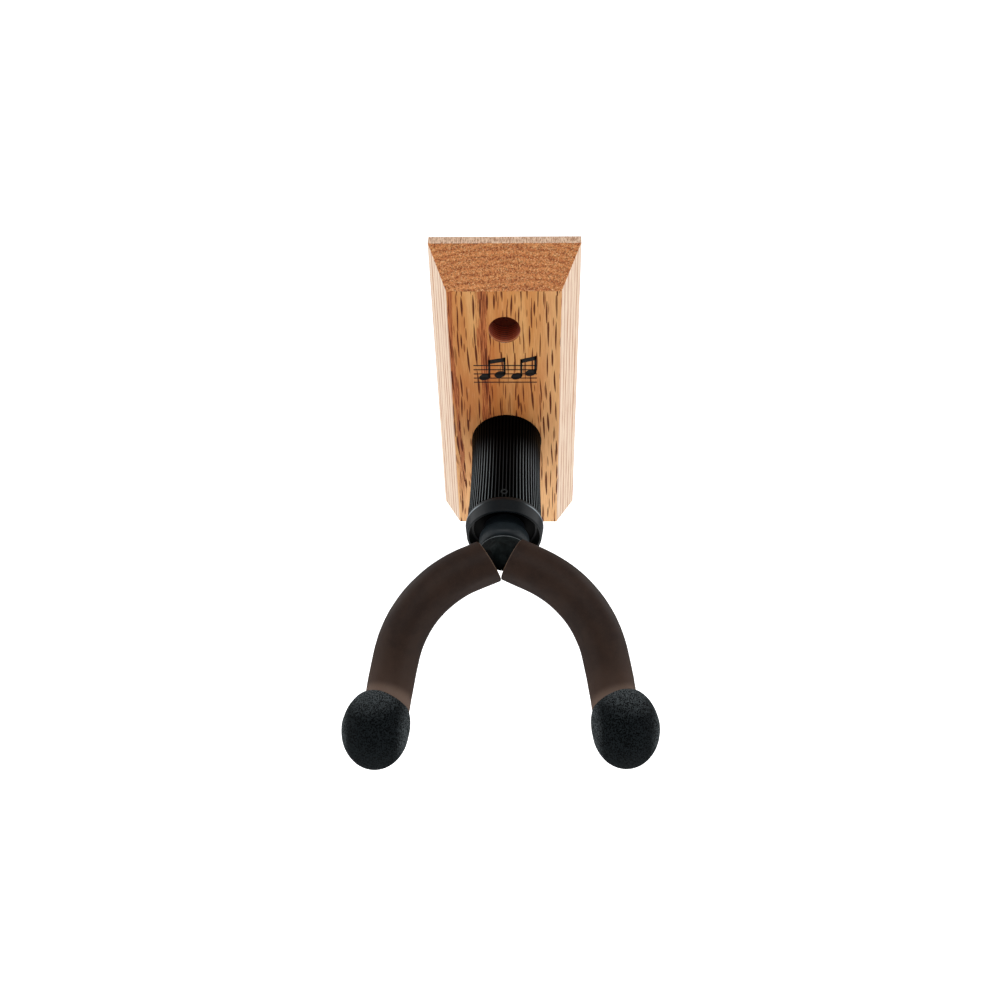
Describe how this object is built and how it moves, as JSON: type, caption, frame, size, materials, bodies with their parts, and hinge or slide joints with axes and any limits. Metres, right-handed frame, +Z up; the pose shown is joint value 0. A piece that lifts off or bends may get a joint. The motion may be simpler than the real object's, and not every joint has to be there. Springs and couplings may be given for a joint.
{
  "type": "wall guitar hanger",
  "caption": "Wall hanger for a guitar: bevelled oak plate, ribbed sleeve, and a swivelling padded yoke with ball ends.",
  "frame": {"origin": "centre of the wooden plate's back face, midway between the two screw holes", "axes": "+X right, +Z up, back face on Y = 0 with the wall behind it on +Y; the hanger stands out to -Y"},
  "size_m": [0.0865, 0.1258, 0.1054],
  "materials": {
    "oak": "satin oiled red oak, vertical grain",
    "sleeve_plastic": "matte moulded black",
    "collar_plastic": "semi-gloss black",
    "gloss_black": "gloss black enamel",
    "rod_steel": "black enamelled rod",
    "zinc_steel": "zinc plated",
    "nylon": "natural nylon",
    "brown_rubber": "satin dark brown rubber tube",
    "black_foam": "matte pitted black foam rubber"
  },
  "bodies": {
    "wall_base": {"oak_backplate": "oak", "ribbed_sleeve": "sleeve_plastic", "cup_collar": "collar_plastic", "front_bush": "gloss_black", "rear_bush": "nylon"},
    "yoke": {"thrust_washer": "collar_plastic", "fork_hub": "gloss_black", "pivot_stud": "zinc_steel", "left_arm_rod": "rod_steel", "left_arm_tube": "brown_rubber", "left_end_ball": "black_foam", "right_arm_rod": "rod_steel", "right_arm_tube": "brown_rubber", "right_end_ball": "black_foam", "nylon_washer": "nylon", "steel_washer": "zinc_steel", "lock_nut": "zinc_steel", "nut_insert": "nylon"}
  },
  "joints": [
    {"name": "yoke_swivel", "type": "hinge", "parent": "wall_base", "child": "yoke", "pos_m": [0, 0, -0.01015], "axis": [0, -1, 0], "continuous": true}
  ]
}
